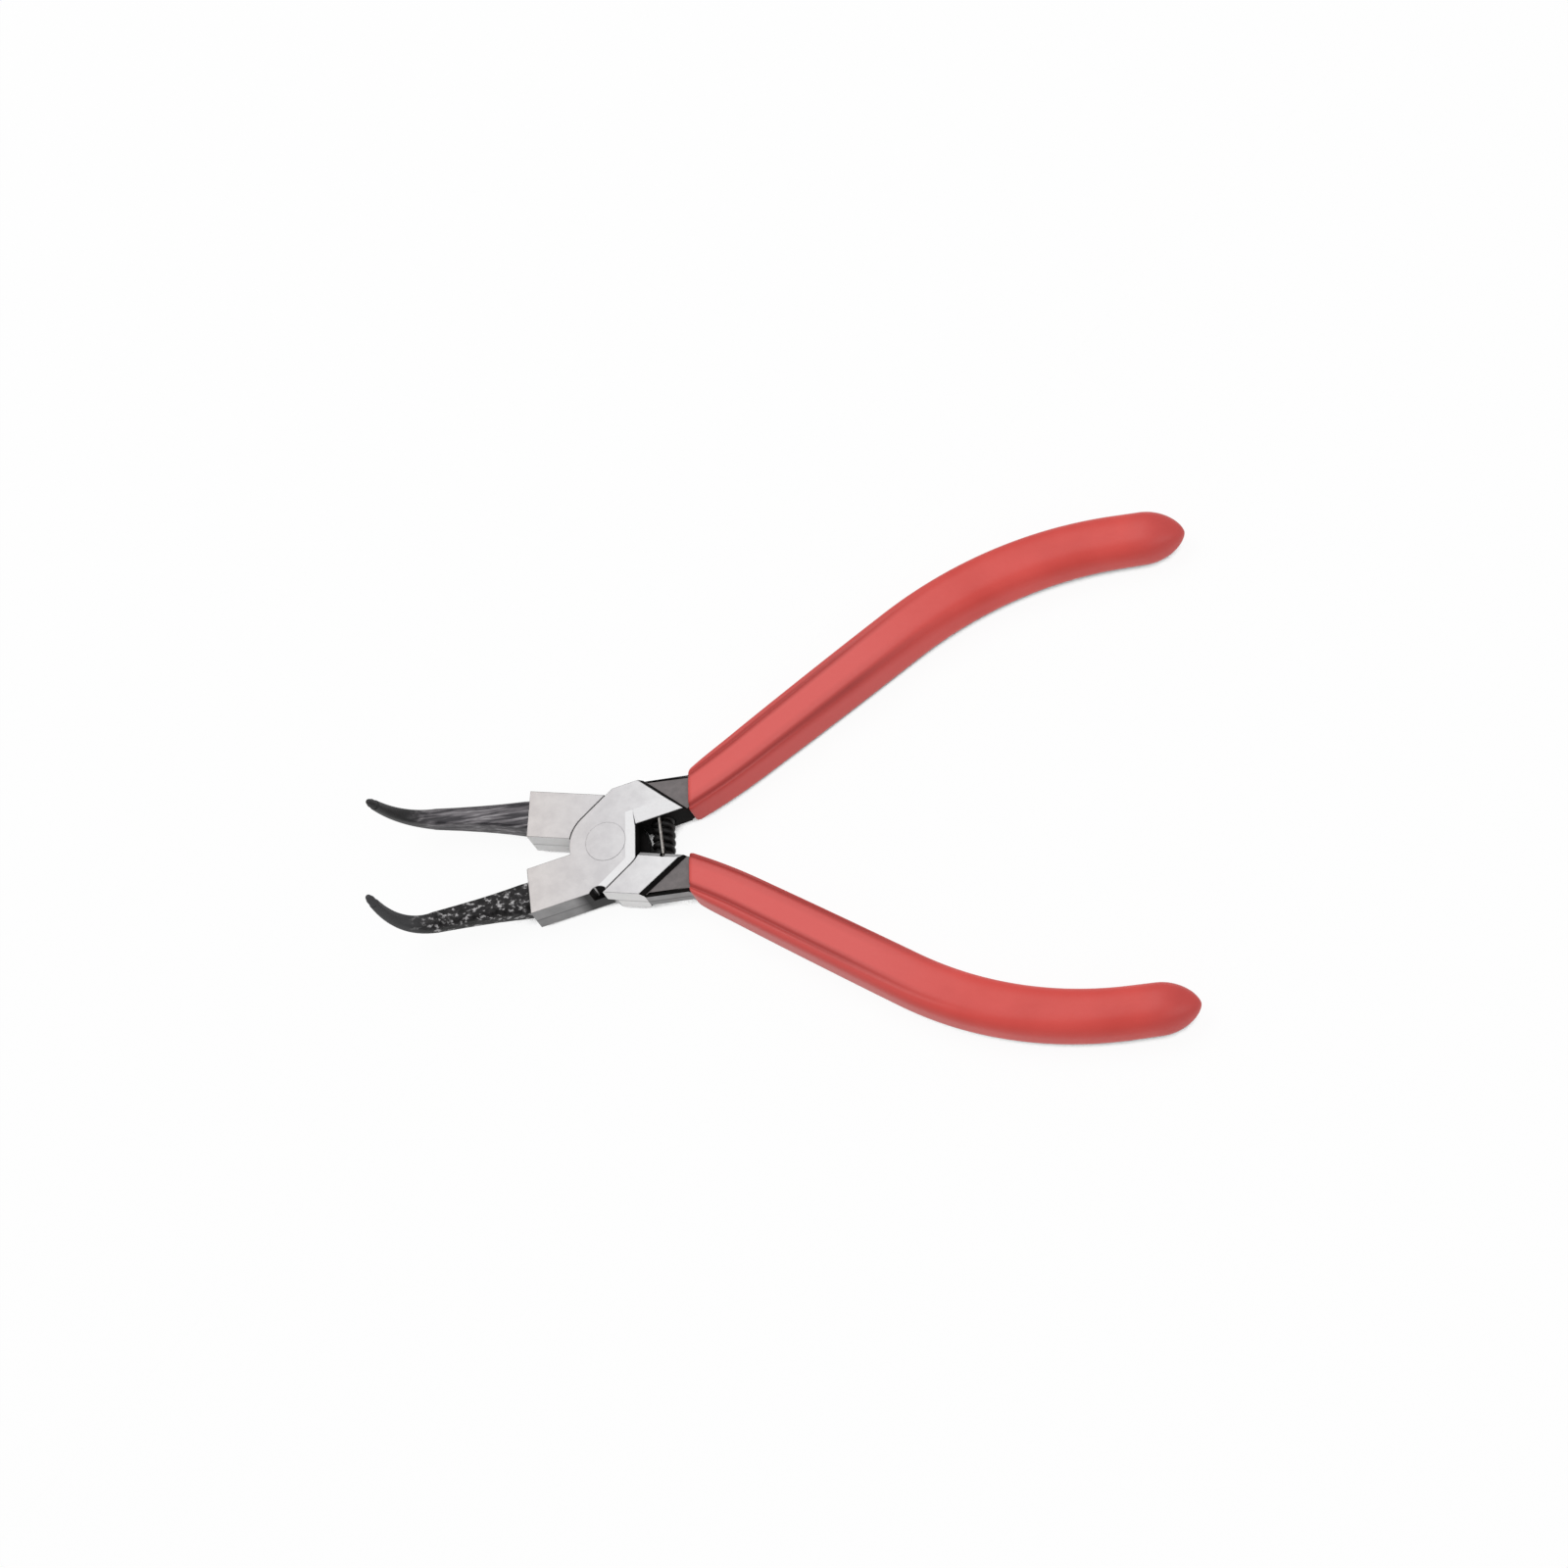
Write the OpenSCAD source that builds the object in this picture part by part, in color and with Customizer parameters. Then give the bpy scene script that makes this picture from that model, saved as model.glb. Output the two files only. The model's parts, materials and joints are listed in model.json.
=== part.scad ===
// Internal circlip pliers with bent tips: two lapped levers on one flush rivet, a return spring
// on a guide pin, and dipped grips. Drawn at rest, open against the shoulders of the joint.
// X runs along the tool with the tips at -X, Y across it, Z up from the flat back; the rivet is at 0, 0.

/* [Joint] */
// Thickness of the ground joint over both laps
head_t = 7.2; // [6.9:0.1:8]
// Radius of each lap around the rivet
lap_r = 7.8; // [7.2:0.1:8.4]
// Running gap between the two laps
lap_gap = 0.1; // [0.06:0.01:0.2]
// Angle of the straight shoulders to the centreline with the jaws shut
shoulder_angle = 30; // [27:0.5:33]
// Gap left at the shoulders where they stop the opening
shoulder_gap = 0.12; // [0.06:0.01:0.25]
// Angle that one lever swings over the other from open to shut
open_angle = 23.2; // [20:0.2:26]
// Diameter of the rivet shank
rivet_d = 6; // [5:0.1:7]
// Diameter of the flush rivet heads
rivet_head_d = 8.4; // [7.6:0.1:9.4]
// Height of each countersunk rivet head
rivet_head_h = 1.2; // [0.8:0.1:1.6]
// Radial clearance of the rivet in the rear lever
rivet_fit = 0.04; // [0.02:0.01:0.08]

/* [Jaw blocks and roots] */
// Reach of the ground jaw block ahead of the rivet
block_reach = 17.3; // [15.5:0.1:19]
// Extra reach of the jaw block at its outside
block_lead = 1.2; // [0.6:0.1:1.6]
// Width of one jaw block
block_w = 10.15; // [9.4:0.05:11]
// Gap between the jaw blocks when shut
jaw_gap = 0.3; // [0.1:0.05:0.8]
// Gap between the handle roots when shut
crotch_gap = 3.6; // [3.2:0.1:4.2]
// Distance from the rivet to the flat at the bottom of the crotch
crotch_x = 6.4; // [5.8:0.1:6.8]
// Reach of the ground face along the crotch
root_reach = 18; // [17:0.1:19]
// Reach of the ground face along the outside
heel_reach = 10.4; // [9.4:0.1:11.4]
// Distance from the centreline to the outside of the ground face
root_w = 11.2; // [10.6:0.1:11.8]
// Radius of the relief where the jaw block meets the shoulder
relief_r = 2.1; // [1.8:0.1:2.4]
// Width of the bevel along the crotch on the face of the lap
crotch_bevel = 3.2; // [2.4:0.1:3.6]
// Width of the bevels at the other edges of the ground faces
edge_bevel_w = 0.8; // [0.5:0.05:1]

/* [Noses and tips] */
// Width of a nose at the jaw block
nose_w = 7; // [6.2:0.1:7.6]
// Thickness of a nose at the jaw block
nose_t = 5.8; // [5.2:0.1:6.2]
// Offset of the nose from the centreline at the jaw block
nose_y = 5.9; // [5:0.1:6.4]
// Width of a nose where the bend starts
neck_w = 3.7; // [3.2:0.1:4.2]
// Thickness of a nose where the bend starts
neck_t = 3.9; // [3.4:0.1:4.4]
// Reach of the straight nose ahead of the rivet
neck_reach = 39; // [36:0.5:41]
// Offset of the nose from the centreline where the bend starts
neck_y = 4; // [3.6:0.1:4.6]
// Rise of the nose above the middle plane where the bend starts
neck_rise = 1.3; // [0.8:0.1:1.8]
// Reach of the tip ends ahead of the rivet
tip_reach = 48.2; // [46.5:0.1:50]
// Rise of the tip ends above the middle plane
tip_rise = 16; // [14:0.5:18]
// Diameter of the tip pins
tip_d = 1.8; // [1.4:0.1:2.2]
// Length of the tip pins
tip_len = 3; // [2.5:0.1:3.5]
// Gap between the tips when shut
tip_gap = 0.2; // [0.1:0.05:0.5]

/* [Handles and grips] */
// Width of the tang inside a grip
tang_w = 6.8; // [6:0.1:7.4]
// Thickness of the tang and of the bare root
tang_t = 5; // [4.5:0.1:5.4]
// Length of the long straight of a handle
handle_straight = 39; // [34:0.5:44]
// Radius of the palm bend of a handle
palm_r = 83.5; // [76:0.5:92]
// Angle of the palm bend
palm_turn = 33.3; // [28:0.5:37]
// Length of the straight end of a handle
handle_end = 14.5; // [10.5:0.5:18]
// Gap from the ground face to the dip line of the grips
dip_gap = 0.3; // [0.2:0.1:1.2]
// Wall of a grip at the dip line
grip_wall = 1; // [0.9:0.05:1.4]
// Extra wall of a grip at the palm bend
grip_swell = 0.95; // [0.6:0.05:1.3]
// Thickness of a grip at the palm bend
grip_t = 9; // [8:0.1:9.8]
// Length of the rounded end of a grip
grip_cap = 8.5; // [7:0.5:10]

/* [Return spring] */
// Outside diameter of the spring
spring_d = 4.8; // [4.4:0.1:5]
// Wire diameter of the spring
wire_d = 0.85; // [0.7:0.05:0.9]
// Turns of the spring
spring_turns = 6.25; // [5.25:0.25:6.75]
// Depth of the spring pockets in the roots
pocket_depth = 1.6; // [1.4:0.1:2]
// Distance of the spring behind the middle plane
spring_drop = 0.6; // [0.5:0.05:0.7]
// Diameter of the guide pin
pin_d = 0.6; // [0.5:0.05:0.7]

/* [Hidden] */
$fn = 64;
half_open = open_angle / 2;
q = open_angle / 4;
mid_z = head_t / 2;
crotch_y = crotch_gap / 2;
foot_x = lap_r * sin(shoulder_angle);
block_y = jaw_gap / 2 + block_w;
relief_x = (block_y * cos(shoulder_angle) - lap_r) / -sin(shoulder_angle) - 0.8 * relief_r;
crotch_fillet = 0.7;
fit = 0.05;
corner_n = 6;
ring_n = 32;

// Handle centreline in the shut pose: straight, slight outward arc, long straight, palm bend, end.
start_p = [1.1 * lap_r, 0.36 * lap_r];
start_a = 15.8;
run1 = 1.5 * lap_r;
root_arc_r = 1.52 * palm_r;
root_arc_turn = 6.2;
run2 = root_arc_r * root_arc_turn * PI / 180;
run4 = palm_r * palm_turn * PI / 180;
s1 = run1;
s2 = s1 + run2;
s3 = s2 + handle_straight;
s4 = s3 + run4;
path_len = s4 + handle_end;
tang_end = path_len - grip_cap;

function dir2(a) = [cos(a), sin(a)];
function left2(a) = [-sin(a), cos(a)];
function arc_step(p, a, r, t) = p + r * (left2(a) - left2(a + t));
function arc_down(p, a, r, t) = p - r * (left2(a) - left2(a - t));
a2 = start_a + root_arc_turn;
a4 = a2 - palm_turn;
p1 = start_p + run1 * dir2(start_a);
p2 = arc_step(p1, start_a, root_arc_r, root_arc_turn);
p3 = p2 + handle_straight * dir2(a2);
p4 = arc_down(p3, a2, palm_r, palm_turn);
function deg_of(l, r) = l / r * 180 / PI;
function path_a(s) =
    s < s1 ? start_a :
    s < s2 ? start_a + deg_of(s - s1, root_arc_r) :
    s < s3 ? a2 :
    s < s4 ? a2 - deg_of(s - s3, palm_r) : a4;
function path_p(s) =
    s < s1 ? start_p + s * dir2(start_a) :
    s < s2 ? arc_step(p1, start_a, root_arc_r, deg_of(s - s1, root_arc_r)) :
    s < s3 ? p2 + (s - s2) * dir2(a2) :
    s < s4 ? arc_down(p3, a2, palm_r, deg_of(s - s3, palm_r)) :
    p4 + (s - s4) * dir2(a4);
function beside(s, d) = path_p(s) + d * left2(path_a(s));

// Dip line: square to the tool at rest, just clear of the ground face; dip_s is its place on the centreline.
dip_x = root_reach * cos(half_open) - crotch_y * sin(half_open) + dip_gap;
dip_s = (dip_x - start_p[0] * cos(half_open) + start_p[1] * sin(half_open)) / cos(start_a + half_open);
stations = [for (i = [0:24]) i / 24];
// The tang starts inside the bare root, where its inner side clears the crotch.
tang_s = (crotch_y + 0.3 + tang_w / 2 * cos(start_a) - start_p[1]) / sin(start_a);

// Nose and tip centreline in the shut pose, front lever, jaw below the centreline.
nose_p = [-block_reach, -nose_y, mid_z];
neck_p = [-neck_reach, -neck_y, mid_z + neck_rise];
tip_p = [-tip_reach, -(tip_d + tip_gap) / 2, mid_z + tip_rise];
nose_dir = (neck_p - nose_p) / norm(neck_p - nose_p);
bend_p = neck_p + nose_dir * (tip_reach - neck_reach) * 0.82;
tip_dir = (tip_p - bend_p) / norm(tip_p - bend_p);
base_p = tip_p - tip_dir * tip_len;
function bend_at(t) = (1 - t) * (1 - t) * neck_p + 2 * t * (1 - t) * bend_p + t * t * base_p;
function bend_dir(t) = let (v = (1 - t) * (bend_p - neck_p) + t * (base_p - bend_p)) v / norm(v);
function side_of(d) = let (v = [0, 1, 0] - d[1] * d) v / norm(v);

// Spring: pockets line up with the jaws half shut, so at rest the coil bows between them.
spring_x = crotch_x + spring_d / 2 + 2.7;
spring_z = mid_z - spring_drop;
wall_y = crotch_y / cos(q) + spring_x * tan(q);
floor_y = wall_y + pocket_depth;
floor_l = floor_y + spring_x * tan(q);
bow_r = floor_l / tan(q);
bow_x = spring_x / cos(q) - bow_r / cos(q);
coil_r = (spring_d - wire_d) / 2;
pocket_r = spring_d / 2 + 0.1;
pin_z = spring_z + pocket_r + pin_d / 2 + 0.3;
meet_x = spring_x / cos(q);
pin_out = (crotch_y / cos(half_open) + meet_x * tan(half_open))
    / (cos(q) - sin(q) * tan(half_open)) + 0.3;
pin_end = pin_out + spring_x * tan(q);
pin_play = 0.2;
pin_hold = 2;

// Rounded section with its own corner radius on the inner and on the outer side.
function section(a, b, ri, ro) = [
    for (k = [0:3], j = [0:corner_n - 1])
        let (inner = k == 0 || k == 3, r = inner ? ri : ro, t = k * 90 + j * 90 / (corner_n - 1))
        [(inner ? 1 : -1) * (a - r) + r * cos(t), (k < 2 ? 1 : -1) * (b - r) + r * sin(t)]
];
function power(v, n) = sign(v) * pow(abs(v), 2 / n);
function oval(a, b, n) = [for (i = [0:ring_n - 1]) let (t = 360 * (i + 0.5) / ring_n)
    [a * power(cos(t), n), b * power(sin(t), n)]];
function placed(p, d, pts) = let (w = side_of(d), v = cross(d, w)) [for (c = pts) p + c[0] * w - c[1] * v];

// A closed skin over rings of points, from the first ring to the last.
module skin(rings, flip) {
    n = len(rings[0]);
    m = len(rings);
    walls = [for (i = [0:m - 2], j = [0:n - 1], h = [0, 1])
        let (k = (j + 1) % n, a = i * n)
        h == 0 ? [a + j, a + k, a + n + k] : [a + j, a + n + k, a + n + j]];
    first = [for (j = [n - 1:-1:0]) j];
    last = [for (j = [0:n - 1]) (m - 1) * n + j];
    faces = concat(walls, [first], [last]);
    polyhedron([for (r = rings) each r],
        flip ? [for (f = faces) [for (i = [len(f) - 1:-1:0]) f[i]]] : faces);
}

// The side of a straight shoulder that belongs to a lap.
module shoulder_side() {
    rotate(shoulder_angle)
        translate([-60, -lap_r])
            square([120, 120]);
}

module jaw_outline() {
    polygon([[-block_reach, -jaw_gap / 2], [-block_reach - block_lead, -block_y],
        [foot_x, -block_y], [foot_x, -jaw_gap / 2]]);
}

module root_outline() {
    polygon([[-foot_x, crotch_y], [root_reach, crotch_y], [heel_reach, root_w], [-foot_x, root_w]]);
}

// The lap of a lever, half the thickness of the joint. The front one is cut flat for the spring,
// and the rear one has a fillet at the bottom of the crotch.
module lap_outline(front) {
    difference() {
        union() {
            circle(r = lap_r);
            intersection() {
                jaw_outline();
                shoulder_side();
            }
        }
        translate([relief_x, -block_y - relief_r / 2])
            circle(r = relief_r);
        if (front)
            rotate(-half_open)
                translate([crotch_x, -2 * lap_r])
                    square(4 * lap_r);
    }
    if (!front)
        intersection() {
            circle(r = lap_r + crotch_fillet);
            translate([lap_r / 2, 0.2 - crotch_y])
                square([lap_r, 2 * crotch_y]);
        }
    intersection() {
        root_outline();
        rotate(180)
            shoulder_side();
    }
}

// Room for the lap of the other lever at every angle of the joint.
module lap_room() {
    circle(r = lap_r + shoulder_gap);
    rotate(-shoulder_angle - open_angle)
        translate([0, -lap_r - shoulder_gap])
            square([60, 60]);
}

// The jaw block and handle root of a lever in the layer of the other lap.
module shoulder_outline() {
    difference() {
        jaw_outline();
        lap_room();
    }
    difference() {
        root_outline();
        rotate(180)
            lap_room();
    }
}

// The tang along the handle's centreline, with a blunt point.
module tang_outline(extra) {
    half_w = tang_w / 2 + extra;
    point = tang_end + 2 + extra;
    n = 36;
    line = [for (i = [0:n]) tang_s + (tang_end - tang_s) * i / n];
    polygon(concat(
        [for (s = line) beside(s, half_w)],
        [beside(point, half_w / 2), beside(point, -half_w / 2)],
        [for (i = [n:-1:0]) beside(line[i], -half_w)]));
}

// The bare root that carries the tang behind the ground face.
module web_outline() {
    half_w = tang_w / 2 - 0.4;
    polygon([[foot_x + 2, crotch_y + 1], [lap_r, crotch_y], [root_reach, crotch_y],
        beside(dip_s + 2, -half_w), beside(dip_s + 2, half_w), [heel_reach, root_w], [foot_x + 2, root_w]]);
}

// A bevel along the edge from p to q of the top or bottom face, with the metal on the left.
module edge_bevel(p, q, run, drop, top) {
    l = norm(q - p);
    translate([p[0], p[1], mid_z])
        rotate(atan2(q[1] - p[1], q[0] - p[0]))
            mirror([0, 0, top ? 0 : 1])
                translate([-1, 0, 0])
                    rotate([90, 0, 90])
                        linear_extrude(l + 2)
                            polygon([[1.5 * run, mid_z + drop / 2], [-run, mid_z - 2 * drop],
                                [-run, mid_z + drop / 2]]);
}

// The forged nose, bent up into a tip that ends in a turned pin.
module nose() {
    skin(concat(
        [for (t = [-0.13, 0.12, 0.25, 0.4, 0.55, 0.75]) let (
            w = neck_w + (nose_w - neck_w) * pow(1 - max(t, 0), 2),
            h = neck_t + (nose_t - neck_t) * (1 - max(t, 0)))
            placed(nose_p + (neck_p - nose_p) * t, nose_dir, section(w / 2, h / 2, 0.1 * w, 0.3 * w))],
        [for (i = [0:16]) let (t = i / 16, k = pow(t, 0.8), r = tip_d / 2 + 0.12)
            placed(bend_at(t), bend_dir(t), section(
                neck_w / 2 * (1 - k) + r * k, neck_t / 2 * (1 - k) + r * k,
                0.17 * neck_w * (1 - k) + 0.9 * r * k, 0.35 * neck_w * (1 - k) + 0.9 * r * k))]), false);
    translate(base_p)
        rotate([0, acos(tip_dir[2]), atan2(tip_dir[1], tip_dir[0])])
            translate([0, 0, -0.2]) {
                cylinder(r = tip_d / 2, h = tip_len - 0.1);
                translate([0, 0, tip_len - 0.1])
                    cylinder(r1 = tip_d / 2, r2 = tip_d / 2 - 0.25, h = 0.3);
            }
}

// A round bar along the spring line of a lever between two distances from the centreline.
module spring_bar(r, z, from, to) {
    rotate(-q)
        translate([spring_x, from, z])
            rotate([-90, 0, 0])
                cylinder(r = r, h = to - from);
}

// One lever in the shut pose with the jaw below the centreline and its lap on the front or the back.
module lever(front) {
    lap_h = mid_z - lap_gap / 2;
    tip_edge = [root_reach, crotch_y];
    heel_edge = [heel_reach, root_w];
    difference() {
        union() {
            translate([0, 0, front ? head_t - lap_h : 0])
                linear_extrude(lap_h)
                    lap_outline(front);
            translate([0, 0, front ? 0 : lap_h])
                linear_extrude(head_t - lap_h)
                    shoulder_outline();
            linear_extrude(head_t)
                intersection() {
                    lap_outline(front);
                    shoulder_outline();
                }
        }
        for (top = [true, false])
            edge_bevel(tip_edge, heel_edge, edge_bevel_w, (head_t - tang_t) / 2 + 0.2, top);
        edge_bevel([lap_r, crotch_y], tip_edge, crotch_bevel, crotch_bevel / 9, front);
        edge_bevel([lap_r, crotch_y], tip_edge, edge_bevel_w, edge_bevel_w / 2, !front);
    }
    translate([0, 0, mid_z - tang_t / 2])
        linear_extrude(tang_t) {
            difference() {
                web_outline();
                rotate(180)
                    lap_room();
            }
            difference() {
                tang_outline(0);
                rotate(180)
                    lap_room();
            }
        }
    nose();
}

// The spring line of the front lever as the rear lever has it with the jaws shut.
module pin_mirror() {
    mirror([0, 1, 0])
        rotate(-q)
            children();
}

// Room in the rear lever for the guide pin at every angle of the joint.
module pin_room() {
    hull()
        for (a = [0, half_open, open_angle])
            rotate(-a)
                pin_mirror()
                    translate([spring_x - pin_d / 2 - pin_play, -pin_end - pin_play])
                        square([pin_d + 2 * pin_play, pin_end]);
}

// A grip in the shut pose: the dipped skin over the tang, cut square to the tool at the dip line.
module grip() {
    from = dip_s - 4;
    difference() {
        intersection() {
            skin([for (t = stations) let (
                u = t < 0.75 ? t / 0.75 * (1 - grip_cap / (path_len - from))
                    : 1 - grip_cap / (path_len - from) * (1 - sin((t - 0.75) * 360)),
                s = from + u * (path_len - from),
                c = max(0, (s - tang_end) / grip_cap),
                f = max(0.12, sqrt(1 - c * c)),
                w = (tang_w / 2 + grip_wall + grip_swell * sin(135 * u)) * f,
                root_h = tang_t / 2 + grip_wall,
                h = (root_h + (grip_t / 2 - root_h) * sin(90 * min(1, 2 * u))) * f,
                p = path_p(s), a = path_a(s))
                placed([p[0], p[1], mid_z], [cos(a), sin(a), 0], oval(w, h, 2.7 + 5.3 * (1 - u) * (1 - u)))], false);
            rotate(-half_open)
                translate([dip_x, -path_len, mid_z - grip_t])
                    cube([2 * path_len, 2 * path_len, 2 * grip_t]);
        }
        translate([0, 0, mid_z - tang_t / 2 - fit])
            linear_extrude(tang_t + 2 * fit) {
                tang_outline(fit);
                web_room();
            }
    }
}

// Room in the grip for the last of the bare root.
module web_room() {
    polygon([[heel_reach, crotch_y], [root_reach, crotch_y - fit], beside(dip_s + 2, -tang_w / 2 - fit),
        beside(dip_s + 2, tang_w / 2 + fit), [heel_reach, root_w + fit]]);
}

module front_lever() {
    color("dimgray")
        rotate(half_open)
            difference() {
                lever(true);
                cylinder(d = rivet_d, h = 3 * head_t, center = true);
                translate([0, 0, head_t - rivet_head_h])
                    cylinder(d1 = rivet_d, d2 = rivet_head_d, h = rivet_head_h);
                spring_bar(pocket_r, spring_z, 0, floor_y);
                spring_bar(pin_d / 2, pin_z, 0, floor_y + pin_hold);
            }
}

module rear_lever() {
    color("gray")
        rotate(-half_open)
            mirror([0, 1, 0])
                difference() {
                    lever(false);
                    cylinder(d = rivet_d + 2 * rivet_fit, h = 3 * head_t, center = true);
                    cylinder(d1 = rivet_head_d + 2 * rivet_fit, d2 = rivet_d + 2 * rivet_fit, h = rivet_head_h);
                    spring_bar(pocket_r, spring_z, 0, floor_y);
                    translate([0, 0, spring_z + pocket_r / 2])
                        linear_extrude(pin_z + pin_d / 2 + pin_play - spring_z - pocket_r / 2)
                            pin_room();
                    rotate(-open_angle)
                        pin_mirror()
                            translate([spring_x, -pin_end, pin_z])
                                cylinder(d = 1.7 * pin_d, h = head_t);
                }
}

module pivot_rivet() {
    color("silver") {
        cylinder(d = rivet_d, h = head_t);
        cylinder(d1 = rivet_head_d, d2 = rivet_d, h = rivet_head_h);
        translate([0, 0, head_t - rivet_head_h])
            cylinder(d1 = rivet_d, d2 = rivet_head_d, h = rivet_head_h);
    }
}

module front_grip() {
    color("firebrick")
        rotate(half_open)
            grip();
}

module rear_grip() {
    color("firebrick")
        rotate(-half_open)
            mirror([0, 1, 0])
                grip();
}

// Wire wound on a bowed line, with a closed coil at each end.
module return_spring() {
    steps = round(spring_turns * 18);
    reach = deg_of(floor_l - wire_d / 2 - 0.08, bow_r);
    end_t = 0.8 / spring_turns;
    end_a = deg_of(wire_d * 0.85, bow_r);
    color("black")
        skin([for (i = [0:steps]) let (
            t = i / steps,
            f = t < end_t ? -reach + end_a * t / end_t
                : t > 1 - end_t ? reach - end_a * (1 - t) / end_t
                : -reach + end_a + 2 * (reach - end_a) * (t - end_t) / (1 - 2 * end_t),
            w = 360 * spring_turns * t,
            er = [cos(f), sin(f), 0],
            et = [-sin(f), cos(f), 0],
            n = cos(w) * er + sin(w) * [0, 0, 1],
            p = [bow_x, 0, spring_z] + bow_r * er + coil_r * n)
            [for (k = [0:7]) p + wire_d / 2 * (cos(45 * k) * n + sin(45 * k) * et)]], true);
}

module spring_guide_pin() {
    color("silver")
        rotate(half_open)
            spring_bar(pin_d / 2, pin_z, -pin_end, floor_y + pin_hold);
}

front_lever();
rear_lever();
pivot_rivet();
front_grip();
rear_grip();
return_spring();
spring_guide_pin();
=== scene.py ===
import json
import math

import bmesh
import bpy
from mathutils import Matrix, Vector


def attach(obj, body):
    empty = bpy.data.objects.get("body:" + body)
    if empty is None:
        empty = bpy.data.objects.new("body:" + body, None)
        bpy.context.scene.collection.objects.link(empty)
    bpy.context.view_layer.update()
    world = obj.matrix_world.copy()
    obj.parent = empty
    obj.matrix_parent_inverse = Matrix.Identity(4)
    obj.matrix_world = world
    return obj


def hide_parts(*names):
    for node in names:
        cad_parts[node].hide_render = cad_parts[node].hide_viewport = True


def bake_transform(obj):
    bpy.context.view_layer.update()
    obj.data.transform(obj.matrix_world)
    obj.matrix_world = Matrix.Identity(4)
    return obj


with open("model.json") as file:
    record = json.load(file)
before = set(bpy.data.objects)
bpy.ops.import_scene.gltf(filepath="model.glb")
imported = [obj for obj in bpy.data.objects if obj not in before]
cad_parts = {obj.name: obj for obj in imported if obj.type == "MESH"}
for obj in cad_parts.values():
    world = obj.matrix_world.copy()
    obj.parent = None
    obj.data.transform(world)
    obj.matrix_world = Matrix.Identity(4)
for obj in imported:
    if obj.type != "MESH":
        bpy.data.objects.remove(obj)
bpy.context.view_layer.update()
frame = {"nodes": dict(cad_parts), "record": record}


# Rear lever: one drop forging of tool steel with the upper jaw, the rear lap of the joint and the
# lower handle's tang. The joint is ground bright after blacking, and the rest keeps its scale.
MM = 0.001
HEAD_T = 7.2 * MM
MID_Z = HEAD_T / 2
TANG_T = 5.0 * MM
HALF_OPEN = math.radians(11.6)
LAP_R = 7.8 * MM
JAW_X_MOST = -0.6 * LAP_R
SEAM_X_MOST = 0.7 * LAP_R
BLOCK_REACH = 17.3 * MM
BEND_REACH = 41.0 * MM
SCALE_FADE_OUT = 1.5 * MM
SCALE_FADE_IN = 3.5 * MM
NOSE_LIE = math.radians(6.6)
TIP_NEAR = 2.0 * MM
TIP_R_MOST = 1.0 * MM
TAPER_FROM = 0.2 * MM
TAPER_PER_MM = 0.32
# The ground face ends on a slanted line, which would cross the X and Y axes at these places.
ROOT_LINE_X = 20.0 * MM
ROOT_LINE_Y = 22.0 * MM
ROOT_CHAMFER = 0.6 * MM
CHAMFER_X_MOST = 3 * LAP_R
CHAMFER_Y_LEAST = 8.5 * MM
LEVER_EDGE_SOFT = 0.14 * MM
FACE_DEPTH = 0.6 * MM
SEAM_NEAR = 0.3 * MM
ROOT_NEAR = 0.01 * MM
LEVER_WELD = 0.002 * MM
SCALE_RELIEF = 0.6
SCALE_ROUGH = 0.5
# Angles between neighbouring faces, in radians.
LEVER_SAME_FACE = math.radians(0.6)
LEVER_SMOOTH_TO = math.radians(20)
LEVER_SOFT_FROM = math.radians(38)
ROOT_SHARP_FROM = 1.0
# Shares of a normal along one axis, which tell flat faces, bevels and walls apart.
FACE_LEVEL = 0.999
FACE_BEVELLED = 0.98
WALL_FACING = 0.9
FACE_FLATTISH = 0.85
SEAM_UPRIGHT = 0.2
# The order of the finishes in LEVER_FINISHES.
GROUND, FORGED, SATIN, PALE_REFLECTION, ROOT, BLACK_AND_SHADE, POLISHED_HIGHLIGHT = range(7)


def connect_finish(mat, node, inputs):
    """Gives each named input of a node its constant, or its link from another node's socket."""
    for name, source in inputs.items():
        if isinstance(source, bpy.types.NodeSocket):
            mat.node_tree.links.new(source, node.inputs[name])
        else:
            node.inputs[name].default_value = source


def finish_step(mat, kind, inputs, **settings):
    """Adds a shader node to a material, with its settings and inputs."""
    node = mat.node_tree.nodes.new("ShaderNode" + kind)
    for name, value in settings.items():
        setattr(node, name, value)
    connect_finish(mat, node, inputs)
    return node


def finish_tones(mat, value, *stops):
    """Adds a colour ramp over a value. Each stop is a place and a tone, in rising order."""
    ramp = finish_step(mat, "ValToRGB", {"Fac": value})
    elements = ramp.color_ramp.elements
    for element, (place, tone) in zip(elements, (stops[0], stops[-1])):
        element.position = place
        element.color = (*tone, 1)
    for place, tone in stops[1:-1]:
        elements.new(place).color = (*tone, 1)
    return ramp.outputs["Color"]


def finish_surface(mat):
    """The surface shader that every material here has."""
    return mat.node_tree.nodes["Principled BSDF"]


def tone_and_shade_finish(mat, tone, share=1.0):
    """Multiplies the base colour that a material has so far by a tone, which carries real tones and painted
    light and shade.
    """
    base = finish_surface(mat).inputs["Base Color"]
    inputs = {"Factor": share, "A": base.links[0].from_socket, "B": tone}
    mix = finish_step(mat, "Mix", inputs, data_type="RGBA", blend_type="MULTIPLY")
    connect_finish(mat, finish_surface(mat), {"Base Color": mix.outputs["Result"]})


def piece_axes(mat):
    """The X, Y and Z of a point on the piece."""
    coords = finish_step(mat, "TexCoord", {})
    return finish_step(mat, "SeparateXYZ", {"Vector": coords.outputs["Object"]}).outputs


def grey(tone):
    """A tone without colour."""
    return (tone, tone, tone)


def cloudy_tones(dark, light):
    """The stops of a plain finish, which clouds over from dark to light."""
    return ((0.36, dark), (0.66, light))


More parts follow.
